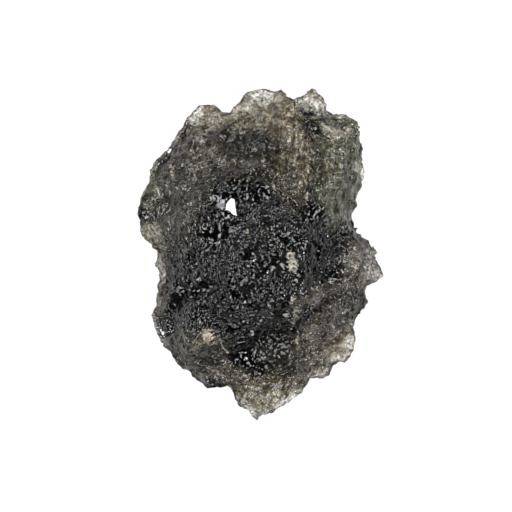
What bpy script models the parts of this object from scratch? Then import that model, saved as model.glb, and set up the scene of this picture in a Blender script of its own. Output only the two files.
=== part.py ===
"""A piece of moldavite, a natural glass: one solid, lying on a small flat spot with its face up.

Plan x runs to the right and plan y away from the viewer, as someone sees the stone when looking
straight down on it. Z is up. The origin is on the ground, under the middle of the stone's box.
Sizes are in millimetres until the points are placed, and then in metres.
"""

import math

import bmesh
import bpy
from mathutils import Vector, noise

NAME = "moldavite"
MM = 0.001

# Driving dimensions: the stone's length, how far its crown and belly stand from its rim, how much of
# the belly the flat spot takes off, and how many facets the skin has
LENGTH = 33.45
CROWN = 5.6
BELLY = 4.7
REST_CUT = 0.65
FACETS = 9400
SPHERE_LEVEL = 7

# The outline in plan, clockwise from the left of the top lobe
TOP_LOBE = (
    (-1.95, 15.4), (-1.85, 15.9), (-1.05, 16.2), (-0.05, 16.6), (0.45, 16.6), (1.15, 16.3),
    (1.95, 16.4), (2.35, 15.8), (3.05, 15.25),
)
TOP_KNOB = (
    (3.65, 15.6), (4.55, 16.15), (4.7, 16.5), (5.05, 16.6), (5.6, 16.1), (6.35, 15.7),
    (6.6, 15.1), (6.85, 14.15),
)
RIGHT_BLOCK = (
    (8.4, 14.1), (8.95, 13.6), (9.7, 13.25), (9.9, 12.4), (9.7, 11.55), (9.85, 10.55),
    (10.25, 9.5), (10.5, 8.55), (10.25, 7.35), (9.85, 6.35), (9.4, 5.55), (9.5, 5.15),
    (9.15, 3.95), (9.05, 3.4), (9.4, 2.75), (9.85, 2.65), (9.5, 2.2), (9.95, 1.5),
)
RIGHT_LOBE = (
    (10.7, 1.3), (11.4, 0.7), (11.75, 0.25), (11.6, -0.4), (11.95, -1.5), (12.3, -2.1),
    (12.1, -2.4), (11.15, -2.85), (10.45, -3.2),
)
RIGHT_SLAB = (
    (10.35, -4.35), (10.6, -4.8), (10.25, -5.55), (10.0, -6.05), (9.45, -6.45), (9.1, -7.4),
    (9.4, -8.55), (9.15, -9.4), (8.75, -10.25), (8.15, -10.85), (7.8, -10.65), (7.15, -11.1),
    (6.95, -11.65), (6.05, -12.4), (5.0, -12.4), (4.4, -13.15), (3.85, -13.95), (3.0, -14.75),
)
BOTTOM_LOBE = (
    (1.85, -15.25), (1.4, -15.95), (0.9, -16.3), (0.0, -16.45), (-0.55, -16.8), (-1.1, -16.05),
    (-1.25, -15.65), (-2.25, -15.3), (-2.35, -14.6), (-2.75, -14.2), (-3.1, -13.25), (-3.5, -13.05),
)
LEFT_FOOT = (
    (-4.0, -13.25), (-5.55, -13.35), (-6.05, -12.7), (-6.75, -12.3), (-7.1, -11.65), (-8.1, -11.05),
    (-8.5, -10.45), (-9.2, -9.65), (-9.95, -9.2), (-10.7, -8.15), (-10.9, -7.35), (-11.25, -6.2),
    (-11.05, -5.9), (-10.6, -5.25),
)
LEFT_SIDE = (
    (-10.5, -4.25), (-10.2, -3.7), (-10.55, -3.3), (-10.5, -3.05), (-10.2, -2.7), (-10.55, -1.9),
    (-10.8, -1.0), (-10.35, -0.25), (-10.45, 0.35), (-11.0, 0.65), (-11.0, 1.2), (-11.6, 1.35),
    (-12.05, 2.0), (-12.1, 2.55), (-11.95, 3.4), (-12.25, 3.85), (-12.1, 4.7), (-11.95, 5.8),
    (-11.6, 6.5), (-11.35, 7.15),
)
LEFT_SHOULDER = (
    (-11.25, 7.9), (-11.15, 8.6), (-10.7, 9.55), (-9.9, 10.3), (-9.45, 10.5), (-9.25, 11.1),
    (-8.85, 11.65), (-8.75, 12.1), (-8.0, 12.75), (-7.6, 13.1), (-7.6, 13.6), (-7.1, 14.0),
    (-6.3, 14.8), (-5.5, 14.95), (-4.85, 15.0), (-4.25, 14.55), (-3.85, 14.05), (-3.15, 14.1),
    (-2.8, 14.7), (-2.2, 15.0),
)
OUTLINE = (
    TOP_LOBE + TOP_KNOB + RIGHT_BLOCK + RIGHT_LOBE + RIGHT_SLAB
    + BOTTOM_LOBE + LEFT_FOOT + LEFT_SIDE + LEFT_SHOULDER
)
# The outline further in has fewer lobes: how far each is rounded off, and how soon the next one takes over
ROUNDING = math.radians(14)
FINE_ROUNDING = math.radians(3)
FINE_START = 4
OUTLINE_START = 16
BEARING_STEPS = 1440

# Where the glass thins to a see-through edge: plan x and y, how far it reaches, and its thickness
FLAKES = {
    "top_lobe": (0.0, 16.6, 5.6, 1.5),
    "top_left_lobe": (-5.6, 15.2, 4.6, 1.6),
    "top_notch": (-3.2, 14.6, 3.4, 2.0),
    "top_knob": (5.4, 16.2, 4.0, 1.6),
    "right_lobe": (12.2, -1.2, 4.8, 1.6),
    "slab_edge": (9.4, -10.2, 5.2, 1.7),
    "slab_corner": (6.4, -12.6, 4.0, 1.8),
    "slab_strip": (3.4, -14.4, 3.6, 1.7),
    "bottom_lobe": (-0.4, -16.4, 5.8, 1.6),
    "bottom_heel": (-2.8, -14.6, 3.4, 1.6),
    "left_flake": (-12.5, 2.4, 3.6, 1.2),
    "left_side": (-11.2, -0.3, 3.4, 1.8),
    "left_low_side": (-11.0, -2.8, 3.0, 1.8),
}
# Where the body is thinner than its middle though still dark: the same four values
THINNER = {
    "top_lobe_root": (0.0, 14.2, 7.0, 4.0),
    "brown_valley": (3.0, 11.2, 6.4, 5.0),
    "brown_valley_foot": (3.4, 7.0, 4.6, 7.2),
    "top_left_root": (-6.0, 12.4, 6.0, 5.6),
    "block_edge": (9.8, 9.6, 4.4, 6.0),
    "behind_right_lobe": (9.8, -1.2, 5.4, 4.2),
    "slab_end": (7.4, -10.2, 6.4, 4.6),
    "bottom_lobe_root": (-0.2, -13.6, 6.0, 4.4),
    "left_face": (-10.4, 3.0, 4.0, 6.0),
}
# How much of a thickness stands on each side of the rim
SIDE_SHARE = 0.6
# How fast the body fills out from its rim inwards, where it is thin and where it is full: under one is
# a blunt rim, and over one a wedge
THIN_WEDGE = 1.2
FULL_WEDGE = 2.0
# The rim itself is a blunt lip: its half thickness, and how soon that is reached
LIP = 0.3
LIP_BLUNTNESS = 0.6

# Hollows in the crown: plan x and y, radius and depth
HOLLOWS = {
    "right_hollow": (7.2, 0.9, 2.0, 1.0),
    "brown_hollow": (5.8, -1.9, 1.8, 0.9),
    "low_hollow": (1.4, -9.2, 2.6, 1.3),
    "left_hollow": (-6.0, 7.2, 1.6, 0.7),
    "high_hollow": (-2.6, 10.6, 2.0, 0.7),
    "left_band_start": (-7.0, -3.6, 1.6, 0.6),
    "left_band_end": (-4.6, -4.0, 1.7, 0.6),
    "heel_hollow": (-3.6, -10.6, 2.2, 0.8),
    "left_corner_hollow": (-8.8, -0.4, 1.5, 0.6),
}
# Swellings on the crown: the same four values
SWELLINGS = {
    "block": (7.4, 9.6, 3.2, 0.9),
    "knob": (0.6, 6.4, 2.2, 0.5),
    "middle_dome": (-1.0, -3.6, 3.6, 0.6),
    "left_dome": (-7.6, 3.6, 2.4, 0.6),
    "slab": (6.6, -6.6, 3.0, 0.5),
    "foot_dome": (-6.4, -8.6, 2.6, 0.6),
}
# Creases and crests on the crown: the line in plan, half width, and height (below zero for a crease)
LINES = {
    "valley_crease": (((2.7, 15.0), (3.9, 12.4), (4.8, 11.2), (4.8, 9.6), (4.2, 5.0)), 0.5, -0.45),
    "slab_crease": (((6.6, -4.4), (5.4, -6.2), (4.2, -7.6)), 0.55, -0.8),
    "slab_crest": (((5.0, -4.8), (4.1, -6.8), (3.7, -9.0), (3.5, -11.6)), 0.5, 0.45),
    "hollow_rim": (((9.4, -1.2), (8.9, -2.4), (7.6, -3.4), (5.4, -3.9), (3.6, -5.2)), 0.5, 0.45),
    "left_crest": (((-8.2, 6.6), (-8.0, 3.6), (-7.0, 1.0)), 0.6, 0.35),
    "cross_crest": (((-4.6, 4.4), (-6.6, 1.0), (-8.6, -1.4)), 0.5, 0.3),
    "foot_crest": (((-8.8, -8.4), (-6.0, -8.6), (-3.6, -8.0)), 0.5, 0.35),
    "low_crest": (((-0.6, -13.0), (1.6, -12.2), (4.2, -11.0)), 0.45, 0.35),
}

# How far a hollow or a swelling spreads beyond its radius, a line beyond its half width, and the
# height of the body from which the crown has its full relief
SPOT_SPREAD = 1.6
LINE_SPREAD = 3.0
FULL_RELIEF_HEIGHT = 2.0

# The scallops that etching left all over: spacing and depth of each size
LARGE_SCALLOPS = (3.6, 0.55)
SMALL_SCALLOPS = (1.6, 0.38)
# How sharp their crests are, the level that is neither in nor out, and how far they are swirled
CREST_SHARPNESS = 1.6
SCALLOP_LEVEL = 0.4
SWIRL_SPACING = 1.3
SWIRL = 0.4
# The etching is shallower on a thin edge: its share there, and the half thickness that adds the rest
THIN_ETCHING = 0.2
FULL_ETCHING_HEIGHT = 5.0
# The slope from which the skin counts as the rim, and that from which it counts as a face
RIM_SLOPE = 0.15
FACE_SLOPE = 0.6
# The slow swelling of the whole skin, and the small bumps along its rim: spacing and height. The
# swelling has two sizes, the second at half the spacing and half the height
SWELL = (9.0, 0.8)
SWELL_FALL = 1.0
SWELL_STEP = 2.0
SWELL_SIZES = 2
RIM_BUMPS = (1.6, 0.5)
# How much of the etching eats into the rim, and the spare that it eats into
RIM_SHARE = 0.35
RIM_SPARE = 0.12
# How far the rim bends up and down: height, and how many bends go round it, for each size, and how
# near the rim the bends begin
RIM_BENDS = ((1.1, 1.1), (0.88, 3.1))
BEND_START = 3
# A step that keeps one pattern clear of another
ELSEWHERE = Vector((31.0, 17.0, 5.0))


def clear_scene():
    for found in list(bpy.data.objects):
        bpy.data.objects.remove(found, do_unlink=True)


def smooth_fall(distance, reach):
    """One at no distance, falling smoothly to nothing at the reach."""
    share = max(0.0, 1.0 - distance / reach)
    return share * share * (3.0 - 2.0 * share)


def cross(a, b):
    return a[0] * b[1] - a[1] * b[0]


def radius_between(start, end, bearing):
    """How far the straight line through two corners lies from the middle, in that direction."""
    side = (end[0] - start[0], end[1] - start[1])
    return cross(start, side) / cross((math.cos(bearing), math.sin(bearing)), side)


def radii_by_bearing(steps):
    """The outline's distance from the middle of the plan, at equal steps of bearing."""
    corners = sorted((math.atan2(y, x), (x, y)) for x, y in OUTLINE)
    radii = []
    place = 0
    for step in range(steps):
        bearing = -math.pi + 2.0 * math.pi * step / steps
        while place < len(corners) and corners[place][0] <= bearing:
            place += 1
        start = corners[place - 1][1]
        end = corners[place % len(corners)][1]
        radii.append(radius_between(start, end, bearing))
    return radii


def rounded(radii, spread):
    """The same outline with its small lobes and notches smoothed away."""
    steps = len(radii)
    reach = int(3.0 * spread / (2.0 * math.pi) * steps)
    weights = [
        math.exp(-0.5 * (offset * 2.0 * math.pi / steps / spread) ** 2)
        for offset in range(-reach, reach + 1)
    ]
    total = sum(weights)
    return [
        sum(w * radii[(step + k - reach) % steps] for k, w in enumerate(weights)) / total
        for step in range(steps)
    ]


def look_up(radii, bearing):
    """The radius at any bearing, between the two nearest steps."""
    steps = len(radii)
    place = (bearing + math.pi) / (2.0 * math.pi) * steps
    low = int(math.floor(place))
    share = place - low
    return radii[low % steps] * (1.0 - share) + radii[(low + 1) % steps] * share


def half_thickness(x, y, full):
    """The body's height above or below its rim, before the rounding towards the rim."""
    height = full
    for table in (THINNER, FLAKES):
        for at_x, at_y, reach, thickness in table.values():
            share = smooth_fall(math.hypot(x - at_x, y - at_y), reach)
            height += (min(height, thickness * SIDE_SHARE) - height) * share
    return height


def distance_to_line(x, y, line):
    """How far a plan point lies from a line of straight stretches."""
    nearest = 1e9
    for (ax, ay), (bx, by) in zip(line, line[1:]):
        dx, dy = bx - ax, by - ay
        along = ((x - ax) * dx + (y - ay) * dy) / (dx * dx + dy * dy)
        along = min(1.0, max(0.0, along))
        nearest = min(nearest, math.hypot(x - ax - along * dx, y - ay - along * dy))
    return nearest


def crown_relief(x, y):
    """The named hollows, swellings, creases and crests of the upper face."""
    rise = 0.0
    for at_x, at_y, radius, depth in HOLLOWS.values():
        rise -= depth * smooth_fall(math.hypot(x - at_x, y - at_y), SPOT_SPREAD * radius)
    for at_x, at_y, radius, height in SWELLINGS.values():
        rise += height * smooth_fall(math.hypot(x - at_x, y - at_y), SPOT_SPREAD * radius)
    for line, half_width, height in LINES.values():
        away = distance_to_line(x, y, line)
        if away < LINE_SPREAD * half_width:
            rise += height * math.exp(-((away / half_width) ** 2))
    return rise


def scallops(point, spacing):
    """Shallow bowls side by side, with sharp crests where they meet: 0 in a bowl, 1 on a crest."""
    swirl = noise.noise_vector(point / (SWIRL_SPACING * spacing)) * (SWIRL * spacing)
    nearest = noise.voronoi((point + swirl) / spacing)[0][0]
    return min(1.0, nearest ** CREST_SHARPNESS)


def relief(point):
    """How far the skin stands out of the smooth body at that point."""
    swell = noise.fractal(point / SWELL[0], SWELL_FALL, SWELL_STEP, SWELL_SIZES) * SWELL[1]
    large = (scallops(point, LARGE_SCALLOPS[0]) - SCALLOP_LEVEL) * LARGE_SCALLOPS[1]
    small = (scallops(point + ELSEWHERE, SMALL_SCALLOPS[0]) - SCALLOP_LEVEL) * SMALL_SCALLOPS[1]
    return swell + large + small


def rim_rise(bearing):
    """The rim isn't level: its lobes bend up and down."""
    around = Vector((math.cos(bearing), math.sin(bearing), 0.0))
    return sum(height * noise.noise(around * bends) for height, bends in RIM_BENDS)


def body_point(outlines, way):
    """Where the point of the unit sphere in that direction goes on the smooth body."""
    bearing = math.atan2(way.y, way.x)
    share = math.hypot(way.x, way.y)
    inner, middle, outer = (look_up(radii, bearing) for radii in outlines)
    radius = inner + (middle - inner) * share ** FINE_START + (outer - middle) * share ** OUTLINE_START
    x = radius * share * math.cos(bearing)
    y = radius * share * math.sin(bearing)
    full = CROWN if way.z > 0 else BELLY
    half = half_thickness(x, y, full)
    wedge = THIN_WEDGE + (FULL_WEDGE - THIN_WEDGE) * half / full
    height = half * abs(way.z) ** wedge + LIP * abs(way.z) ** LIP_BLUNTNESS
    z = math.copysign(height, way.z) + rim_rise(bearing) * share ** BEND_START
    if way.z > 0:
        z += crown_relief(x, y) * min(1.0, height / FULL_RELIEF_HEIGHT)
    return Vector((x, y, z))


def etch(shape):
    """Moves the skin in and out, but at the rim only inwards, so that it keeps its outline."""
    shape.normal_update()
    places = []
    for vertex in shape.verts:
        at = vertex.co
        depth = min(1.0, THIN_ETCHING + half_thickness(at.x, at.y, CROWN) / FULL_ETCHING_HEIGHT)
        out = relief(at)
        level = min(1.0, max(0.0, (abs(vertex.normal.z) - RIM_SLOPE) / (FACE_SLOPE - RIM_SLOPE)))
        sideways = out * level + (RIM_SPARE + RIM_SHARE * min(0.0, out)) * (1.0 - level)
        bump = RIM_BUMPS[1] * noise.noise(at / RIM_BUMPS[0]) * (1.0 - level)
        way = vertex.normal
        places.append(at + Vector((way.x * sideways, way.y * sideways, way.z * out + bump)) * depth)
    for vertex, place in zip(shape.verts, places):
        vertex.co = place


def make_body():
    """The stone: a sphere drawn out to the outline, etched, and set down on the ground."""
    outer = radii_by_bearing(BEARING_STEPS)
    outlines = (rounded(outer, ROUNDING), rounded(outer, FINE_ROUNDING), outer)
    shape = bmesh.new()
    bmesh.ops.create_icosphere(shape, subdivisions=SPHERE_LEVEL, radius=1.0)
    for vertex in shape.verts:
        vertex.co = body_point(outlines, vertex.co.normalized())
    etch(shape)
    low = [min(v.co[axis] for v in shape.verts) for axis in range(3)]
    high = [max(v.co[axis] for v in shape.verts) for axis in range(3)]
    middle = Vector(((low[0] + high[0]) / 2, (low[1] + high[1]) / 2, low[2] + REST_CUT))
    size = LENGTH / (high[1] - low[1]) * MM
    for vertex in shape.verts:
        vertex.co = (vertex.co - middle) * size
    mesh = bpy.data.meshes.new(NAME)
    shape.to_mesh(mesh)
    shape.free()
    body = bpy.data.objects.new(NAME, mesh)
    bpy.context.scene.collection.objects.link(body)
    return body


def add_decimate(body):
    """Fewer, larger facets where the skin is smooth, and small ones along the crests."""
    fewer = body.modifiers.new("fewer_facets", "DECIMATE")
    fewer.ratio = FACETS / len(body.data.polygons)


def cut_flat_spot(body):
    """Takes everything below the ground off the belly, so that the stone rests on a small flat."""
    ground = bmesh.new()
    bmesh.ops.create_cube(ground, size=2.0 * LENGTH * MM)
    bmesh.ops.translate(ground, verts=ground.verts, vec=(0.0, 0.0, -LENGTH * MM))
    mesh = bpy.data.meshes.new("ground")
    ground.to_mesh(mesh)
    ground.free()
    cutter = bpy.data.objects.new("ground", mesh)
    cutter.hide_render = True
    cutter.display_type = "WIRE"
    bpy.context.scene.collection.objects.link(cutter)
    cut = body.modifiers.new("flat_spot", "BOOLEAN")
    cut.operation = "DIFFERENCE"
    cut.solver = "EXACT"
    cut.object = cutter


def make_material():
    """Dark smoky olive glass."""
    glass = bpy.data.materials.new("moldavite_glass")
    glass.use_nodes = True
    shader = glass.node_tree.nodes["Principled BSDF"]
    shader.inputs["Base Color"].default_value = (0.045, 0.048, 0.034, 1.0)
    shader.inputs["Roughness"].default_value = 0.25
    shader.inputs["IOR"].default_value = 1.49
    return glass


def main():
    clear_scene()
    stone = make_body()
    stone.data.materials.append(make_material())
    add_decimate(stone)
    cut_flat_spot(stone)


main()
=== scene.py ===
"""The looks of a piece of moldavite: a dark olive natural glass, etched into fine pits all over."""

import math

import bpy
import numpy as np
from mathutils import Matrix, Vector, noise


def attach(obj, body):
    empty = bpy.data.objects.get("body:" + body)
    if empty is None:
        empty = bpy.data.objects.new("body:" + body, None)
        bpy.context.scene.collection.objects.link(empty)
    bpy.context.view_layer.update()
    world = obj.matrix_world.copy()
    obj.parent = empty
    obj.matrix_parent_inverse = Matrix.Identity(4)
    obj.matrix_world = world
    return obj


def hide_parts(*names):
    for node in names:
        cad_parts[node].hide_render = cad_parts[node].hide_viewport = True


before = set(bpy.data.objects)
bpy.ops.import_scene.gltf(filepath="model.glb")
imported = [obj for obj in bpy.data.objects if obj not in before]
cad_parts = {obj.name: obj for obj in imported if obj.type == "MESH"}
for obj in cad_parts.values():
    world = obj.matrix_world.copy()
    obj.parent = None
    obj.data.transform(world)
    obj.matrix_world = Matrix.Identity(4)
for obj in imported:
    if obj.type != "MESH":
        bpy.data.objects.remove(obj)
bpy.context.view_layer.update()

MM = 0.001

# The camera.
# It looks straight down on the stone's face, from far enough away for the outline to keep its
# shape. The photograph is square, and a tenth of a millimetre of the stone fills a pixel of it.
PHOTO_SIDE = 512
MM_PER_PIXEL = 0.1
PHOTO_MIDDLE_OF_STONE = (261.0, 254.6)
LENS = 120.0
SENSOR = 36.0
RIM_HEIGHT = 5.4

camera_data = bpy.data.cameras.new("camera")
camera_data.lens = LENS
camera_data.sensor_width = SENSOR
camera_data.clip_start = 0.01
camera_data.clip_end = 10.0
camera = bpy.data.objects.new("camera", camera_data)
bpy.context.scene.collection.objects.link(camera)
shown_width = PHOTO_SIDE * MM_PER_PIXEL
camera.location = Vector((
    (PHOTO_SIDE / 2 - PHOTO_MIDDLE_OF_STONE[0]) * MM_PER_PIXEL,
    (PHOTO_MIDDLE_OF_STONE[1] - PHOTO_SIDE / 2) * MM_PER_PIXEL,
    RIM_HEIGHT + shown_width * LENS / SENSOR,
)) * MM
bpy.context.scene.camera = camera

# The stone.
# It is one lump of natural glass, splashed out hot and later etched in the ground. Its facets are
# rounded off first, so that the etching has a smooth skin to cut into.
VOXEL = 0.09
ROUNDING_STEPS = 6
MOST_TRIANGLES = 192000

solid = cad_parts["moldavite"]
stone = bpy.data.objects.new("moldavite_stone", solid.data.copy())
bpy.context.scene.collection.objects.link(stone)
stone.data.materials.clear()
weld = stone.modifiers.new("weld", "WELD")
weld.merge_threshold = 0.001 * MM
even = stone.modifiers.new("even_facets", "REMESH")
even.mode = "VOXEL"
even.voxel_size = VOXEL * MM
even.use_smooth_shade = True
rounded = stone.modifiers.new("rounded", "SMOOTH")
rounded.factor = 0.5
rounded.iterations = ROUNDING_STEPS


def add_socket(tree, name, kind, value=None, out=False):
    """A named input or output on a node tree."""
    way = "OUTPUT" if out else "INPUT"
    socket = tree.interface.new_socket(name, in_out=way, socket_type=kind)
    if value is not None:
        socket.default_value = value
    return socket


def put(tree, value, socket):
    """Links a socket, or sets a plain value."""
    if isinstance(value, bpy.types.NodeSocket):
        tree.links.new(value, socket)
    elif value is not None:
        socket.default_value = value


def add_node(tree, kind, inputs=None, **settings):
    """A node with its settings, and its inputs by name or by place."""
    node = tree.nodes.new(kind)
    for name, value in settings.items():
        setattr(node, name, value)
    for name, value in (inputs or {}).items():
        put(tree, value, node.inputs[name])
    return node


def math_node(tree, operation, first, second=None):
    """A Math node on values or sockets."""
    return add_node(
        tree, "ShaderNodeMath", {0: first, 1: second}, operation=operation
    ).outputs[0]


def vector_node(tree, operation, first, second=None, scale=None):
    """A Vector Math node on vectors or sockets, and a scale."""
    inputs = {0: first, 1: second}
    if scale is not None:
        inputs["Scale"] = scale
    node = add_node(tree, "ShaderNodeVectorMath", inputs, operation=operation)
    return node.outputs["Value" if operation == "LENGTH" else "Vector"]


def mapped(tree, value, source, target, smooth=False):
    """A value brought from one range to another and kept inside it."""
    return add_node(tree, "ShaderNodeMapRange", {
        "Value": value, "From Min": source[0], "From Max": source[1],
        "To Min": target[0], "To Max": target[1],
    }, interpolation_type="SMOOTHSTEP" if smooth else "LINEAR").outputs[0]


def noise_node(tree, place, scale, detail, **more):
    """A Noise texture. Its scale is the number of lumps in a metre."""
    inputs = {"Vector": place, "Scale": scale, "Detail": detail}
    inputs.update({name.capitalize(): value for name, value in more.items()})
    return add_node(tree, "ShaderNodeTexNoise", inputs)


def swirled_place(tree, place, scale, detail, pull):
    """A place pulled about by a slow noise, so that what is drawn there gets ragged or bent."""
    swirl = noise_node(tree, place, scale, detail)
    centred = vector_node(tree, "SUBTRACT", swirl.outputs["Color"], (0.5, 0.5, 0.5))
    return vector_node(tree, "ADD", place, vector_node(tree, "SCALE", centred, scale=pull))


# Diameter, depth, warp and the place where its pattern starts, in millimetres
PITS = {
    "Large": (1.6, 0.25, 1.6, (3.0, 1.0, 2.0)),
    "Middle": (0.68, 0.22, 1.2, (11.0, 5.0, 7.0)),
    "Small": (0.42, 0.04, 1.0, (23.0, 13.0, 17.0)),
}
SWIRL_SHARE = 0.28
BOWL_CURVE = 2.0
BOWL_LEVEL = 0.25
THICKEST = 12.0
RAY_START = 0.05
BLUR_STEPS = 12
THIN_EDGE = (0.6, 2.0)
THIN_EDGE_PITS = 0.2
UPPER_TILT = (-0.4, 0.1)
SWARM_SCALE = 0.4
SWARM_RANGE = (0.42, 0.58)
SWARM_PITS = (0.2, 1.05)
NIBBLE_SCALE = 1.4
NIBBLE = 0.32

etching = bpy.data.node_groups.new("etch_pits", "GeometryNodeTree")
add_socket(etching, "Geometry", "NodeSocketGeometry")
add_socket(etching, "Geometry", "NodeSocketGeometry", out=True)
for pit_name, (pit_size, pit_depth, _, _) in PITS.items():
    add_socket(etching, pit_name + " Pit Size", "NodeSocketFloat", pit_size * MM)
    add_socket(etching, pit_name + " Pit Depth", "NodeSocketFloat", pit_depth * MM)
material_input = add_socket(etching, "Material", "NodeSocketMaterial")
group_in = add_node(etching, "NodeGroupInput")
group_out = add_node(etching, "NodeGroupOutput")
where = add_node(etching, "GeometryNodeInputPosition").outputs[0]
facing = add_node(etching, "GeometryNodeInputNormal").outputs[0]
# How thick the glass is below each point, straight through, evened out
ray = add_node(etching, "GeometryNodeRaycast", {
    "Target Geometry": group_in.outputs["Geometry"],
    "Source Position": vector_node(
        etching, "ADD", where, vector_node(etching, "SCALE", facing, scale=-RAY_START * MM)
    ),
    "Ray Direction": vector_node(etching, "SCALE", facing, scale=-1.0),
    "Ray Length": THICKEST * MM,
})
across = add_node(etching, "GeometryNodeSwitch", {
    "Switch": ray.outputs["Is Hit"], "False": THICKEST,
    "True": math_node(etching, "DIVIDE", ray.outputs["Hit Distance"], MM),
}, input_type="FLOAT")
even_across = add_node(etching, "GeometryNodeBlurAttribute", {
    "Value": across.outputs[0], "Iterations": BLUR_STEPS,
}, data_type="FLOAT")
kept = add_node(etching, "GeometryNodeStoreNamedAttribute", {
    "Geometry": group_in.outputs["Geometry"], "Name": "thickness",
    "Value": even_across.outputs[0],
}, data_type="FLOAT", domain="POINT")
known = add_node(
    etching, "GeometryNodeInputNamedAttribute", {"Name": "thickness"}, data_type="FLOAT"
)
share = mapped(etching, known.outputs[0], THIN_EDGE, (THIN_EDGE_PITS, 1.0))
up = add_node(etching, "ShaderNodeSeparateXYZ", {0: facing}).outputs[2]
on_top = mapped(etching, up, UPPER_TILT, (0.0, 1.0))
patches = noise_node(etching, where, SWARM_SCALE / MM, 2.0)
swarm = mapped(etching, patches.outputs[0], SWARM_RANGE, SWARM_PITS)
# Bowls side by side with sharp crests between them
total = 0.0
for pit_name, (_, _, pit_warp, pit_start) in PITS.items():
    size = group_in.outputs[pit_name + " Pit Size"]
    depth = group_in.outputs[pit_name + " Pit Depth"]
    moved = vector_node(etching, "ADD", where, tuple(x * MM for x in pit_start))
    bent = swirled_place(
        etching, moved, math_node(etching, "DIVIDE", SWIRL_SHARE, size), 1.0,
        math_node(etching, "MULTIPLY", size, pit_warp),
    )
    cells = add_node(etching, "ShaderNodeTexVoronoi", {
        "Vector": bent, "Scale": math_node(etching, "DIVIDE", 1.0, size),
    }, feature="F1")
    bowl = math_node(etching, "POWER", cells.outputs["Distance"], BOWL_CURVE)
    height = math_node(
        etching, "MULTIPLY", math_node(etching, "SUBTRACT", bowl, BOWL_LEVEL), depth
    )
    if pit_name != "Large":
        height = math_node(etching, "MULTIPLY", height, swarm)
    if pit_name == "Small":
        height = math_node(etching, "MULTIPLY", height, on_top)
    total = math_node(etching, "ADD", height, total)
total = math_node(etching, "MULTIPLY", total, share)
nibble = noise_node(etching, where, NIBBLE_SCALE / MM, 2.0)
nibbled = vector_node(etching, "SUBTRACT", nibble.outputs["Color"], (0.5, 0.5, 0.5))
set_position = add_node(etching, "GeometryNodeSetPosition", {
    "Geometry": kept.outputs[0],
    "Offset": vector_node(
        etching, "ADD", vector_node(etching, "SCALE", facing, scale=total),
        vector_node(etching, "SCALE", nibbled, scale=NIBBLE * MM),
    ),
})
realize = add_node(etching, "GeometryNodeRealizeInstances", {0: set_position.outputs[0]})
set_material = add_node(etching, "GeometryNodeSetMaterial", {
    "Geometry": realize.outputs[0], "Material": group_in.outputs["Material"],
})
put(etching, set_material.outputs[0], group_out.inputs[0])

# The glass.
# It is nearly black where the stone is thick. Warm beige light comes through its thin lobes, and
# its upper part has a brown flow and an olive block. Painted shade darkens some hollows, creases
# and the foot in its colour, and painted highlights lighten two crests.
CORE_TINT = (0.006, 0.006, 0.006)
# Painted shade: black put into the glass's colour in hollows and creases where shade falls
SHADE = (0.0, 0.0, 0.0)
SMOKY = (0.30, 0.275, 0.22)
OLIVE = (0.36, 0.36, 0.255)
SOOT = (0.175, 0.16, 0.13)
# Painted shade: a dark brown put into the glass's colour in the low hollow, the upper part and the
# foot
PAINTED_SHADE_BROWN = (0.05, 0.043, 0.03)
BROWN = (0.46, 0.395, 0.28)
BEIGE = (0.58, 0.53, 0.42)
UMBER = (0.27, 0.235, 0.15)
DUSK = (0.19, 0.17, 0.14)
MOSS = (0.36, 0.355, 0.27)
PALE = (0.72, 0.70, 0.57)
LOBE_COLOURS = (BEIGE, DUSK, PALE)
CLEAR = (0.97, 0.95, 0.89)
CLOUD = (0.26, 0.22, 0.16)
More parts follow.
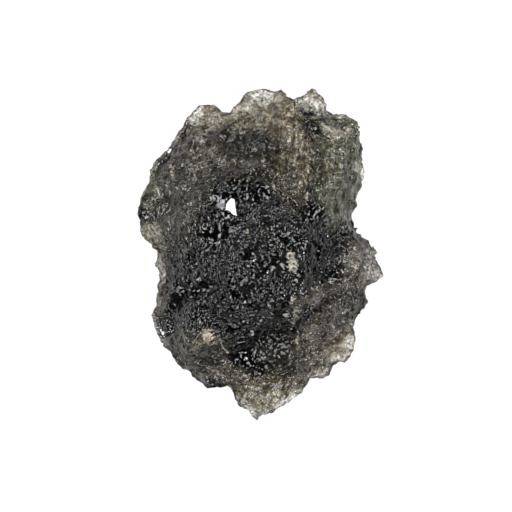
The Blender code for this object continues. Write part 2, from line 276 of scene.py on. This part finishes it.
# Plan x and y, half length along x and y, and turn, in millimetres and degrees
TINTED_AREAS = {
    "left_face": (-7.9, 6.5, 3.4, 7.0, -12.0, SOOT),
    "top_face": (-2.5, 11.5, 6.0, 4.4, 0.0, SMOKY),
    "foot_face": (-6.8, -10.4, 4.0, 3.4, 30.0, SOOT),
    "slab": (6.8, -8.4, 3.6, 4.8, -20.0, SMOKY),
    "right_face": (10.0, -2.0, 2.4, 4.0, 0.0, SMOKY),
    "right_stain": (8.9, -1.1, 0.7, 1.2, 20.0, MOSS),
    "block": (7.8, 8.6, 3.0, 6.2, 0.0, OLIVE),
    "top_fringe": (-1.6, 14.2, 6.4, 2.2, 0.0, BROWN),
    "brown_flow": (2.6, 10.4, 2.6, 5.4, 8.0, BROWN),
    "foot_stain": (-5.8, -8.9, 1.5, 0.9, 20.0, BROWN),
    # Painted highlight: the slab's ridge is lighter where light catches its crest
    "slab_ridge_painted_light": (3.7, -8.2, 0.7, 4.6, 0.0, MOSS),
    "slab_corner": (5.4, -12.0, 2.8, 1.7, 30.0, SMOKY),
    "low_face": (-3.0, -12.2, 2.2, 1.3, -20.0, SMOKY),
    # Painted highlight along the fold's crest, and painted shade in the crease beside it
    "fold_painted_highlight": (5.5, -3.9, 3.0, 0.7, 32.0, SMOKY),
    "fold_crease_painted_shade": (4.3, -6.2, 3.2, 0.5, 38.0, SHADE),
    "block_corner": (8.0, 12.6, 2.3, 1.7, -20.0, OLIVE),
    # Painted shade: the next five areas darken the low hollow, a hollow, a band, the upper part and
    # the foot
    "low_shade": (1.3, -10.0, 2.6, 1.7, 0.0, PAINTED_SHADE_BROWN),
    "hollow_shade": (5.8, -0.6, 1.6, 2.2, 10.0, SHADE),
    "band_shade": (-6.0, -3.6, 2.6, 1.0, 0.0, SHADE),
    "upper_shade": (-1.5, 10.8, 4.6, 1.8, -4.0, PAINTED_SHADE_BROWN),
    "foot_shade": (-5.4, -10.2, 2.0, 0.9, 25.0, PAINTED_SHADE_BROWN),
    "top_lobe": (-0.2, 15.8, 3.8, 2.2, 0.0, BEIGE),
    "top_left_lobe": (-4.9, 14.1, 2.9, 2.0, 0.0, BEIGE),
    "top_knob": (5.4, 15.2, 1.9, 2.4, 20.0, PALE),
    "right_lobe": (11.2, -1.2, 2.0, 2.8, 0.0, DUSK),
    "slab_edge": (8.2, -10.2, 1.9, 3.2, -20.0, BEIGE),
    "bottom_lobe": (0.4, -14.6, 4.6, 3.0, 8.0, UMBER),
    "bottom_tip": (-0.5, -16.2, 1.5, 0.8, 0.0, PALE),
    "bottom_right_edge": (2.6, -14.7, 2.2, 0.55, 38.0, BEIGE),
    "left_edge": (-10.5, -2.6, 1.5, 3.8, 0.0, BEIGE),
    "block_band": (7.3, 12.3, 2.0, 0.65, -8.0, PALE),
    "block_edge": (9.8, 8.6, 0.6, 1.2, 0.0, PALE),
    # Painted shade at the root of the knob
    "knob_root_painted_shade": (4.4, 14.5, 0.9, 0.5, -30.0, SHADE),
    "left_rim": (-11.3, 7.3, 1.4, 3.2, 0.0, OLIVE),
    "left_flake": (-11.0, 1.8, 1.7, 2.0, 0.0, BEIGE),
}
RAGGED_SCALE = 0.45
RAGGED_REACH = 2.6
AREA_EDGE = (1.15, 0.55)
LUMP_SCALE = 1.1
LUMP_RANGE = (0.3, 0.7)
LUMP_THICKNESS = (-0.8, 0.9)
THIN_GLASS = (0.5, 2.0)
LEAST_CLEAR = 0.2
VEIL_SCALE = 1.5
VEIL_RANGE = (0.58, 0.42)
VEILED_THICKNESS = (1.0, 4.0)
THIN_VEIL = 0.75
THICK_VEIL = 1.05
BRIGHTEST = 1.22
GRAIN_SCALE = 4.0
GRAIN_RANGE = (0.36, 0.64)
GRAIN_SHARE = (0.2, 1.95)
CLOUD_SCALE = 0.65
CLOUD_RANGE = (0.38, 0.58)
FIBRES = (3.8, 0.25, 1.0)
FIBRE_TURN = -6.0
FIBRE_RANGE = (0.38, 0.62)
FIBRE_SHARE = (0.3, 1.5)
FIBRE_HEIGHT = 0.5
FINE_SWIRL_SCALE = 0.9
FINE_SWIRL = 0.8
FINE_BOWL_SCALE = 2.8
FINE_SWARM_SHARE = (0.25, 1.2)
FROSTED_BOWLS = 0.48
POLISH = 0.06
FROSTING = 0.18
LOBE_FROSTING = 0.04

tinting = bpy.data.node_groups.new("stone_tint", "ShaderNodeTree")
add_socket(tinting, "Core", "NodeSocketColor", (*CORE_TINT, 1.0))
add_socket(tinting, "Mottling", "NodeSocketFloat", THICK_VEIL)
add_socket(tinting, "Thickness", "NodeSocketFloat", 5.0)
add_socket(tinting, "Color", "NodeSocketColor", out=True)
add_socket(tinting, "Height", "NodeSocketFloat", out=True)
add_socket(tinting, "Roughness", "NodeSocketFloat", out=True)
tint_in = add_node(tinting, "NodeGroupInput")
tint_out = add_node(tinting, "NodeGroupOutput")


def mix_colours(tree, factor, first, second):
    """A Mix node on two colours, of which either may be a socket."""
    return add_node(
        tree, "ShaderNodeMix", {0: factor, 6: first, 7: second}, data_type="RGBA"
    ).outputs[2]


spot = add_node(tinting, "ShaderNodeTexCoord").outputs["Object"]
ragged_spot = swirled_place(tinting, spot, RAGGED_SCALE / MM, 3.0, RAGGED_REACH * MM)
tint = tint_in.outputs["Core"]
lobes = 0.0
flow = 0.0
clear = 0.0
for area_name, (x, y, half_x, half_y, turn, colour) in TINTED_AREAS.items():
    local = add_node(tinting, "ShaderNodeMapping", {
        "Vector": ragged_spot, "Location": (x * MM, y * MM, 0.0),
        "Rotation": (0.0, 0.0, math.radians(turn)), "Scale": (half_x * MM, half_y * MM, 1.0),
    }, vector_type="TEXTURE")
    local.name = area_name
    away = vector_node(tinting, "LENGTH", local.outputs[0])
    mask = mapped(tinting, away, AREA_EDGE, (0.0, 1.0), smooth=True)
    tint = mix_colours(tinting, mask, tint, (*colour, 1.0))
    if colour in LOBE_COLOURS:
        lobes = math_node(tinting, "MAXIMUM", mask, lobes)
    if colour != SHADE:
        clear = math_node(tinting, "MAXIMUM", mask, clear)
    if area_name == "brown_flow":
        flow = mask
lumps = noise_node(tinting, spot, LUMP_SCALE / MM, 4.0, roughness=0.6)
uneven = mapped(tinting, lumps.outputs[0], LUMP_RANGE, LUMP_THICKNESS)
seen_thickness = math_node(tinting, "ADD", tint_in.outputs["Thickness"], uneven)
clearest = mapped(tinting, lobes, (0.0, 1.0), (LEAST_CLEAR, 1.0))
thin = mapped(tinting, seen_thickness, THIN_GLASS, (clearest, 0.0))
tint = mix_colours(tinting, thin, tint, (*CLEAR, 1.0))
# The light from below comes through the pits and veils of the glass in soft patches
veils = noise_node(tinting, spot, VEIL_SCALE / MM, 4.0, roughness=0.75, distortion=0.5)
patchy = mapped(tinting, veils.outputs[0], VEIL_RANGE, (0.0, 1.0))
veil_depth = mapped(
    tinting, tint_in.outputs["Thickness"], VEILED_THICKNESS,
    (THIN_VEIL, tint_in.outputs["Mottling"]),
)
dim = math_node(
    tinting, "SUBTRACT", BRIGHTEST, math_node(tinting, "MULTIPLY", veil_depth, patchy)
)
grains = noise_node(tinting, spot, GRAIN_SCALE / MM, 3.0)
dim = math_node(
    tinting, "MULTIPLY", dim, mapped(tinting, grains.outputs[0], GRAIN_RANGE, GRAIN_SHARE)
)
clouds = noise_node(tinting, spot, CLOUD_SCALE / MM, 4.0)
cloudy = mapped(tinting, clouds.outputs[0], CLOUD_RANGE, (0.0, 1.0))
warmth = mix_colours(tinting, cloudy, (*CLOUD, 1.0), (1.0, 1.0, 1.0, 1.0))
tint = vector_node(tinting, "MULTIPLY", tint, warmth)
drawn = add_node(tinting, "ShaderNodeMapping", {
    "Vector": spot, "Rotation": (0.0, 0.0, math.radians(FIBRE_TURN)),
    "Scale": tuple(x / MM for x in FIBRES),
})
threads = noise_node(tinting, drawn.outputs[0], 1.0, 2.0)
thread = mapped(tinting, threads.outputs[0], FIBRE_RANGE, FIBRE_SHARE)
fibrous = mapped(tinting, flow, (0.0, 1.0), (1.0, thread))
tint = vector_node(tinting, "SCALE", tint, scale=fibrous)
put(tinting, vector_node(tinting, "SCALE", tint, scale=dim), tint_out.inputs["Color"])
# The finest pits are small bowls side by side, in swarms, and shallower where it is frosted
swirled = swirled_place(tinting, spot, FINE_SWIRL_SCALE / MM, 2.0, FINE_SWIRL * MM)
bowls = add_node(tinting, "ShaderNodeTexVoronoi", {
    "Vector": swirled, "Scale": FINE_BOWL_SCALE / MM,
}, feature="F1")
bowl = math_node(tinting, "POWER", bowls.outputs["Distance"], BOWL_CURVE)
swarms = noise_node(tinting, spot, SWARM_SCALE / MM, 2.0)
fine_swarm = mapped(tinting, swarms.outputs[0], SWARM_RANGE, FINE_SWARM_SHARE)
softened = mapped(tinting, clear, (0.0, 1.0), (1.0, FROSTED_BOWLS))
height = math_node(tinting, "MULTIPLY", bowl, fine_swarm)
height = math_node(tinting, "MULTIPLY", height, softened)
drawn_height = math_node(tinting, "MULTIPLY", threads.outputs[0], flow)
drawn_height = math_node(tinting, "MULTIPLY", drawn_height, FIBRE_HEIGHT)
put(tinting, math_node(tinting, "ADD", height, drawn_height), tint_out.inputs["Height"])
frosting = math_node(
    tinting, "ADD", math_node(tinting, "MULTIPLY", clear, FROSTING),
    math_node(tinting, "MULTIPLY", lobes, LOBE_FROSTING),
)
put(tinting, math_node(tinting, "ADD", POLISH, frosting), tint_out.inputs["Roughness"])

GLASS_IOR = 1.49
GLASS_TRANSMISSION = 0.75
FINEST_DEPTH = 0.11
ABSORBED = (0.32, 0.30, 0.24)
ABSORPTION = 150.0

glass = bpy.data.materials.new("moldavite_glass")
glass.use_nodes = True
tree = glass.node_tree
shader = tree.nodes["Principled BSDF"]
thickness = add_node(tree, "ShaderNodeAttribute", attribute_name="thickness").outputs["Fac"]
shader.inputs["IOR"].default_value = GLASS_IOR
shader.inputs["Transmission Weight"].default_value = GLASS_TRANSMISSION
tint_group = add_node(tree, "ShaderNodeGroup", node_tree=tinting)
put(tree, thickness, tint_group.inputs["Thickness"])
put(tree, tint_group.outputs["Color"], shader.inputs["Base Color"])
put(tree, tint_group.outputs["Roughness"], shader.inputs["Roughness"])
bump = add_node(tree, "ShaderNodeBump", {
    "Strength": 1.0, "Distance": FINEST_DEPTH * MM, "Height": tint_group.outputs["Height"],
})
put(tree, bump.outputs[0], shader.inputs["Normal"])
absorb = add_node(tree, "ShaderNodeVolumeAbsorption")
absorb.inputs["Color"].default_value = (*ABSORBED, 1.0)
absorb.inputs["Density"].default_value = ABSORPTION
put(tree, absorb.outputs[0], tree.nodes["Material Output"].inputs["Volume"])

pits = stone.modifiers.new("pits", "NODES")
pits.node_group = etching
pits[material_input.identifier] = glass
fewer = stone.modifiers.new("fewer_facets", "DECIMATE")
depsgraph = bpy.context.evaluated_depsgraph_get()
made = sum(len(p.vertices) - 2 for p in stone.evaluated_get(depsgraph).data.polygons)
fewer.ratio = min(1.0, MOST_TRIANGLES / made)
depsgraph = bpy.context.evaluated_depsgraph_get()
finished = bpy.data.meshes.new_from_object(stone.evaluated_get(depsgraph), depsgraph=depsgraph)
stone.modifiers.clear()
stone.data = finished

# The ridges and creases of the flow.
# The melt was folded while it was still soft, and etching has opened the folds: sharp crests with
# grooves beside them. Each has its line in plan, half width and height, in millimetres.
FLOW_LINES = {
    "slab_crest": (((6.2, -3.9), (4.9, -5.4), (4.0, -6.6), (3.7, -7.8), (3.5, -11.8)), 0.16, 0.30),
    "slab_groove": (
        ((6.4, -4.6), (5.4, -5.7), (4.5, -6.9), (4.15, -8.2), (4.0, -11.4)), 0.22, -0.42,
    ),
    "valley_crest": (
        ((3.0, 15.0), (3.9, 12.9), (4.8, 11.4), (4.85, 10.4), (4.7, 8.2), (4.7, 7.4)), 0.15, 0.30,
    ),
    "valley_groove": (
        ((3.6, 14.6), (4.5, 12.6), (5.2, 11.2), (5.2, 9.6), (5.1, 7.6), (5.0, 5.4)), 0.22, -0.40,
    ),
    "fan_1": (((0.4, 1.3), (2.4, -0.2)), 0.09, 0.16),
    "fan_2": (((0.2, 0.8), (2.4, -0.5)), 0.09, 0.16),
    "fan_3": (((0.9, 1.7), (2.5, 0.3)), 0.09, 0.14),
    "left_crest": (((-8.1, 5.8), (-7.9, 3.6), (-8.1, 1.4)), 0.14, 0.22),
    "cross_crest": (((-7.3, 2.6), (-6.8, 0.7), (-5.9, -0.9)), 0.14, 0.24),
    "dark_band": (((-8.2, -3.3), (-6.4, -3.7), (-4.6, -3.3)), 0.34, -0.36),
    "right_arc": (((9.4, -0.9), (8.9, -2.2), (7.6, -3.2), (5.6, -3.9), (3.9, -5.0)), 0.15, 0.17),
    "foot_groove": (((-9.4, -6.4), (-7.8, -8.9), (-5.6, -10.9), (-3.4, -12.4)), 0.24, -0.30),
    "top_arc": (((-7.0, 8.6), (-6.2, 9.3), (-5.3, 8.9)), 0.12, 0.2),
    "low_crest": (((-2.4, -13.0), (0.6, -12.5), (3.2, -11.4)), 0.15, 0.24),
}
LINE_REACH = 4.0
LINE_WANDER = 0.9
LINE_WANDER_SIZE = 0.9
LINE_BREAK_SIZE = 1.3
LINE_STRENGTH = 0.75
LINE_BREAKS = 0.7
LINE_STRENGTH_RANGE = (0.2, 1.2)
# Plan x and y, and radius
CRATERS = ((2.93, -0.1, 0.14), (-1.4, 2.3, 0.1), (4.3, -5.2, 0.2))
CRATER_DEPTH = 0.30
CRATER_LIP = 0.10
CRATER_LIP_RADII = 2.2


def seen_plan(points):
    """Where the camera sees each point against the rim's level, in millimetres in plan."""
    eye = np.array(camera.location)
    nearer = (eye[2] - RIM_HEIGHT * MM) / (eye[2] - points[:, 2])
    return ((points[:, :2] - eye[:2]) * nearer[:, None] + eye[:2]) / MM


def distance_to_line(plan, line):
    """How far each plan point lies from a line of straight stretches."""
    nearest = np.full(len(plan), 1e9)
    for start, end in zip(line, line[1:]):
        start = np.array(start)
        side = np.array(end) - start
        along = np.clip((plan - start) @ side / (side @ side), 0.0, 1.0)
        away = np.linalg.norm(plan - start - along[:, None] * side, axis=1)
        nearest = np.minimum(nearest, away)
    return nearest


def noise_at(points, size, seed):
    """Smooth noise from -1 to 1 at each point, with lumps of that size."""
    shift = Vector((seed, 2.0 * seed, 3.0 * seed))
    return np.array([noise.noise(Vector(p) / (size * MM) + shift) for p in points])


def read_vectors(items, name):
    """One vector of each vertex or facet, as rows."""
    values = np.empty(len(items) * 3, dtype=np.float32)
    items.foreach_get(name, values)
    return values.reshape(-1, 3).astype(float)


co = read_vectors(finished.vertices, "co")
normal = read_vectors(finished.vertices, "normal")
plan = seen_plan(co)
upper = np.flatnonzero(normal[:, 2] > 0.0)
lift = np.zeros(len(co))
for line, half_width, height in FLOW_LINES.values():
    near = distance_to_line(plan[upper], line)
    close = upper[near < LINE_REACH * half_width]
    wander = noise_at(co[close], LINE_WANDER_SIZE, 5.0) * LINE_WANDER * half_width
    away = np.abs(distance_to_line(plan[close], line) + wander)
    broken = LINE_STRENGTH + LINE_BREAKS * noise_at(co[close], LINE_BREAK_SIZE, 9.0)
    broken = np.clip(broken, *LINE_STRENGTH_RANGE)
    lift[close] += height * np.exp(-((away / half_width) ** 2)) * broken
# Pocket-like pits with a raised lip, at the ring of crust and its small neighbours
for x, y, radius in CRATERS:
    away = np.hypot(*(plan - (x, y)).T)
    lip = CRATER_LIP * np.exp(-(((away - CRATER_LIP_RADII * radius) / radius) ** 2))
    pocket = CRATER_DEPTH * np.exp(-((away / radius) ** 2))
    lift += np.where(normal[:, 2] > 0.0, lip - pocket, 0.0)
co += normal * lift[:, None] * MM
finished.vertices.foreach_set("co", co.astype(np.float32).ravel())
finished.update()

# The pale crust.
# Clay and fine sand are still cemented into some of the pits: an opaque, matt, cream skin that is
# too thin to stand out. It covers those facets of the glass.
CRUST_DARK = (0.12, 0.105, 0.075)
CRUST_LIGHT = (0.50, 0.45, 0.35)
CRUST_GRAIN_SCALE = 3.0
CRUST_GRAIN_RANGE = (0.34, 0.62)
CRUST_GRAIN_DEPTH = 0.1
CRUST_CRUMB = 0.17
CRUST_PATCH = 0.5
CRUST_PATCH_SHARE = 0.4
HALF_COVER = 0.45
# Plan x and y, half length along x and y, turn and cover
CRUST_SPOTS = {
    "middle_ring": (2.93, -0.1, 0.46, 0.46, 0.0, 1.2),
    "middle_spot": (3.15, -1.05, 0.52, 0.95, 10.0, 1.1),
    "heel_fan": (-5.3, -7.95, 0.8, 0.7, -15.0, 0.85),
    "slab_spots": (3.55, -8.6, 0.26, 0.7, 0.0, 0.5),
    "slab_strip": (3.1, -6.6, 0.5, 1.2, 10.0, 0.3),
    "valley_spot": (4.55, 5.7, 0.26, 0.85, 0.0, 0.6),
    "block_patch": (7.4, 11.9, 0.9, 0.5, 0.0, 0.45),
    "edge_patch": (9.75, 8.8, 0.5, 1.0, 0.0, 0.35),
    "left_spots": (-8.95, 8.4, 0.4, 1.0, 0.0, 0.4),
    "shoulder_spot": (-8.4, 11.7, 0.3, 0.45, 0.0, 0.45),
    "right_spots": (9.4, -1.2, 0.5, 1.0, 20.0, 0.4),
    "yellow_dot": (-0.8, -8.0, 0.14, 0.14, 0.0, 0.9),
    "low_dot": (0.3, -12.9, 0.16, 0.13, 0.0, 0.9),
    "slab_dot": (8.5, -5.6, 0.2, 0.2, 0.0, 0.8),
    "slab_second_dot": (7.2, -7.2, 0.18, 0.18, 0.0, 0.8),
    "small_ring": (-1.4, 2.3, 0.22, 0.24, 0.0, 0.9),
}
# Line in plan, half width and cover
CRUST_LINES = {
    "zigzag": (((6.0, 13.2), (6.6, 12.7), (7.2, 12.3), (8.4, 12.2), (8.9, 12.6)), 0.22, 0.72),
    "valley_loop": (((3.9, 10.4), (4.4, 10.2), (4.9, 9.6), (4.7, 8.8), (4.75, 8.2)), 0.14, 0.6),
    "heel_streak": (((-4.1, -8.4), (-3.8, -9.3), (-3.3, -9.8)), 0.14, 0.6),
    "right_arc": (((9.2, -2.1), (8.7, -2.5), (8.2, -2.7)), 0.14, 0.5),
}
# Plan x and y, and radius
CRUST_HOLES = ((2.93, -0.1, 0.15), (3.3, -0.9, 0.08), (-1.4, 2.3, 0.1))

crust = bpy.data.materials.new("pale_crust")
crust.use_nodes = True
tree = crust.node_tree
crust_shader = tree.nodes["Principled BSDF"]
crust_shader.inputs["Roughness"].default_value = 0.8
crust_place = add_node(tree, "ShaderNodeTexCoord").outputs["Object"]
grain = noise_node(tree, crust_place, CRUST_GRAIN_SCALE / MM, 3.0)
grainy = mapped(tree, grain.outputs[0], CRUST_GRAIN_RANGE, (0.0, 1.0))
cream = mix_colours(tree, grainy, (*CRUST_DARK, 1.0), (*CRUST_LIGHT, 1.0))
put(tree, cream, crust_shader.inputs["Base Color"])
crumbs = add_node(tree, "ShaderNodeBump", {
    "Strength": 1.0, "Distance": CRUST_GRAIN_DEPTH * MM, "Height": grain.outputs[0],
})
put(tree, crumbs.outputs[0], crust_shader.inputs["Normal"])
finished.materials.append(crust)

centres = read_vectors(finished.polygons, "center")
faces_up = np.flatnonzero(read_vectors(finished.polygons, "normal")[:, 2] > 0.0)
face_plan = seen_plan(centres[faces_up])
inside = np.full(len(faces_up), -9.0)
for x, y, half_x, half_y, turn, cover in CRUST_SPOTS.values():
    turned = math.radians(turn)
    dx = face_plan[:, 0] - x
    dy = face_plan[:, 1] - y
    along = dx * math.cos(turned) + dy * math.sin(turned)
    aside = dy * math.cos(turned) - dx * math.sin(turned)
    away = np.hypot(along / half_x, aside / half_y)
    inside = np.maximum(inside, cover - away ** 3)
for line, half_width, cover in CRUST_LINES.values():
    away = distance_to_line(face_plan, line) / half_width
    inside = np.maximum(inside, cover - away ** 3)
maybe = np.flatnonzero(inside > -1.0)
places = centres[faces_up[maybe]]
ragged = noise_at(places, CRUST_CRUMB, 3.0) + CRUST_PATCH_SHARE * noise_at(places, CRUST_PATCH, 4.0)
covered = inside[maybe] - HALF_COVER > ragged
for x, y, radius in CRUST_HOLES:
    covered &= np.hypot(face_plan[maybe, 0] - x, face_plan[maybe, 1] - y) > radius
kinds = np.zeros(len(finished.polygons), dtype=np.int32)
kinds[faces_up[maybe[covered]]] = finished.materials.find(crust.name)
finished.polygons.foreach_set("material_index", kinds)

# The fresh chip.
# A splinter broke off lately. Its flat scar has no pits and shines like a mirror, and the break
# beside it is frosted, with painted sheen: its grey colour stands in for the reflection of a soft
# light.
KEY_DIRECTION = (-35.0, 55.0)
CHIP_OUTLINE = (
    (-2.97, 5.7), (-2.67, 5.55), (-2.57, 4.7), (-2.42, 3.85), (-2.77, 4.0), (-3.17, 4.4),
    (-3.57, 4.5), (-3.57, 5.2), (-3.27, 5.55),
)
CHIP_DEPTH = 0.12
SIDE_DIRECTION = (-75.0, 62.0)
CHIP_SIDE_OUTLINE = (
    (-3.6, 5.5), (-3.66, 4.75), (-3.9, 4.4), (-4.2, 4.75), (-4.6, 4.5), (-4.5, 5.0),
    (-4.15, 5.1), (-4.0, 5.55),
)
CHIP_SIDE_DEPTH = 0.14
SCAR_REACH = 0.7
SCAR_HEADROOM = 3.0
SCAR_COLOUR = (0.01, 0.01, 0.01)
# Painted sheen: the grey shades of the frosted break stand in for a reflection
CHALK_SHEEN_SCALE = 2.4
CHALK_SHEEN_RANGE = (0.4, 0.6)
CHALK_SHEEN_SHADES = (0.14, 0.5)


def direction(azimuth, elevation):
    """The way towards a light. Azimuth 0 is at +Y and 90 at +X."""
    a = math.radians(azimuth)
    e = math.radians(elevation)
    return Vector((math.sin(a) * math.cos(e), math.cos(a) * math.cos(e), math.sin(e)))


def cut_scar(name, outline, light_way, depth, finish):
    """Cuts a flat scar that shows the camera the light which stands that way."""
    middle = np.mean(outline, axis=0)
    near = np.hypot(*(plan - middle).T) < SCAR_REACH
    level = np.median(co[near & (normal[:, 2] > 0.0), 2]) - depth * MM
    eye = np.array(camera.location)
    nearer = (eye[2] - level) / (eye[2] - RIM_HEIGHT * MM)
    ring = (np.array(outline) * MM - eye[:2]) * nearer + eye[:2]
    centre = (middle * MM - eye[:2]) * nearer + eye[:2]
    face = (light_way + Vector((0.0, 0.0, 1.0))).normalized()
    fall = [(face.x * (x - centre[0]) + face.y * (y - centre[1])) / face.z for x, y in ring]
    low_ring = [(x, y, level - drop) for (x, y), drop in zip(ring, fall)]
    high_ring = [(x, y, level + SCAR_HEADROOM * MM) for x, y in ring]
    count = len(outline)
    bottom = tuple(range(count))[::-1]
    top = tuple(range(count, 2 * count))
    walls = [(k, (k + 1) % count, count + (k + 1) % count, count + k) for k in range(count)]
    mesh = bpy.data.meshes.new(name)
    mesh.from_pydata(low_ring + high_ring, [], [bottom, top, *walls])
    mesh.validate()
    for slot_material in finished.materials:
        mesh.materials.append(slot_material)
    mesh.polygons[0].material_index = mesh.materials.find(finish.name)
    cutter = bpy.data.objects.new(name, mesh)
    bpy.context.scene.collection.objects.link(cutter)
    cut = stone.modifiers.new(name, "BOOLEAN")
    cut.operation = "DIFFERENCE"
    cut.solver = "MANIFOLD"
    cut.object = cutter
    return cutter


scar = bpy.data.materials.new("fresh_scar")
scar.use_nodes = True
scar_shader = scar.node_tree.nodes["Principled BSDF"]
scar_shader.inputs["Base Color"].default_value = (*SCAR_COLOUR, 1.0)
scar_shader.inputs["Roughness"].default_value = 0.05
scar_shader.inputs["IOR"].default_value = GLASS_IOR
finished.materials.append(scar)

# The frosted break: rough, with painted sheen in its grey colour
frosted_with_sheen = bpy.data.materials.new("frosted_scar_with_painted_sheen")
frosted_with_sheen.use_nodes = True
tree = frosted_with_sheen.node_tree
frosted_sheen_shader = tree.nodes["Principled BSDF"]
frosted_sheen_place = add_node(tree, "ShaderNodeTexCoord").outputs["Object"]
chalk_and_sheen = noise_node(tree, frosted_sheen_place, CHALK_SHEEN_SCALE / MM, 2.0)
chalky_sheen = mapped(tree, chalk_and_sheen.outputs[0], CHALK_SHEEN_RANGE, CHALK_SHEEN_SHADES)
put(tree, chalky_sheen, frosted_sheen_shader.inputs["Base Color"])
frosted_sheen_shader.inputs["Roughness"].default_value = 0.35
frosted_sheen_shader.inputs["IOR"].default_value = GLASS_IOR
finished.materials.append(frosted_with_sheen)

key_way = direction(*KEY_DIRECTION)
side_way = direction(*SIDE_DIRECTION)
cutters = [
    cut_scar("chip", CHIP_OUTLINE[::-1], key_way, CHIP_DEPTH, scar),
    cut_scar("chip_side", CHIP_SIDE_OUTLINE[::-1], side_way, CHIP_SIDE_DEPTH, frosted_with_sheen),
]
depsgraph = bpy.context.evaluated_depsgraph_get()
finished = bpy.data.meshes.new_from_object(stone.evaluated_get(depsgraph), depsgraph=depsgraph)
stone.modifiers.clear()
stone.data = finished
for cutter in cutters:
    bpy.data.objects.remove(cutter)
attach(stone, "root")
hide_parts("moldavite")

# The floor.
# White paper that is lit evenly under and around the stone, so that it looks pure white. It is
# darker outside the picture, so that the sides of the glass mirror something dark.
FLOOR_REACH = 1.0
FLOOR_COLOUR = (0.06, 0.06, 0.06)
GLOW_REACH = (38.0 * MM, 90.0 * MM)
GLOW = (0.98, 0.12)

corners = [(x * FLOOR_REACH, y * FLOOR_REACH, 0.0) for x, y in ((-1, -1), (1, -1), (1, 1), (-1, 1))]
floor_mesh = bpy.data.meshes.new("floor")
floor_mesh.from_pydata(corners, [], [(0, 1, 2, 3)])
floor = bpy.data.objects.new("floor", floor_mesh)
bpy.context.scene.collection.objects.link(floor)
paper = bpy.data.materials.new("white_floor")
paper.use_nodes = True
tree = paper.node_tree
paper_shader = tree.nodes["Principled BSDF"]
paper_shader.inputs["Base Color"].default_value = (*FLOOR_COLOUR, 1.0)
paper_shader.inputs["Roughness"].default_value = 0.9
paper_shader.inputs["Emission Strength"].default_value = 1.0
away = vector_node(tree, "LENGTH", add_node(tree, "ShaderNodeTexCoord").outputs["Object"])
pool = mapped(tree, away, GLOW_REACH, GLOW, smooth=True)
put(tree, pool, paper_shader.inputs["Emission Color"])
floor_mesh.materials.append(paper)

# The lights.
# Four soft panels stand round the stone, one small strong lamp lights its face and the chip, and
# two low lamps at the sides make the walls of the pits sparkle.
HAZE_TOP = 0.4
HAZE = (0.15, 0.015)
LIGHT_DISTANCE = 0.6
LIGHT_COLOUR = (0.98, 0.99, 1.01)
# Azimuth and elevation in degrees, width in metres and radiance
SOFTBOXES = {
    "key": (*KEY_DIRECTION, 0.06, 40.0),
    "left_panel": (-88.0, 44.0, 0.24, 11.0),
    "right_panel": (62.0, 40.0, 0.24, 10.0),
    "near_panel": (170.0, 46.0, 0.24, 9.0),
    "far_panel": (-12.0, 34.0, 0.18, 8.0),
    "sparkle_left": (-120.0, 30.0, 0.08, 34.0),
    "sparkle_right": (110.0, 34.0, 0.08, 34.0),
}

world = bpy.data.worlds.new("studio")
world.use_nodes = True
sky = world.node_tree
sky_place = add_node(sky, "ShaderNodeTexCoord").outputs["Generated"]
way_up = add_node(sky, "ShaderNodeSeparateXYZ", {0: sky_place}).outputs[2]
haze = mapped(sky, way_up, (0.0, HAZE_TOP), HAZE, smooth=True)
put(sky, haze, sky.nodes["Background"].inputs["Color"])
bpy.context.scene.world = world
for light_name, (azimuth, elevation, width, radiance) in SOFTBOXES.items():
    light = bpy.data.lights.new(light_name, "AREA")
    light.shape = "SQUARE"
    light.size = width
    light.energy = radiance * math.pi * width * width
    light.color = LIGHT_COLOUR
    holder = bpy.data.objects.new(light_name, light)
    bpy.context.scene.collection.objects.link(holder)
    light_way = direction(azimuth, elevation)
    holder.location = light_way * LIGHT_DISTANCE
    holder.rotation_euler = light_way.to_track_quat("Z", "Y").to_euler()
bpy.context.scene.view_settings.view_transform = "Standard"
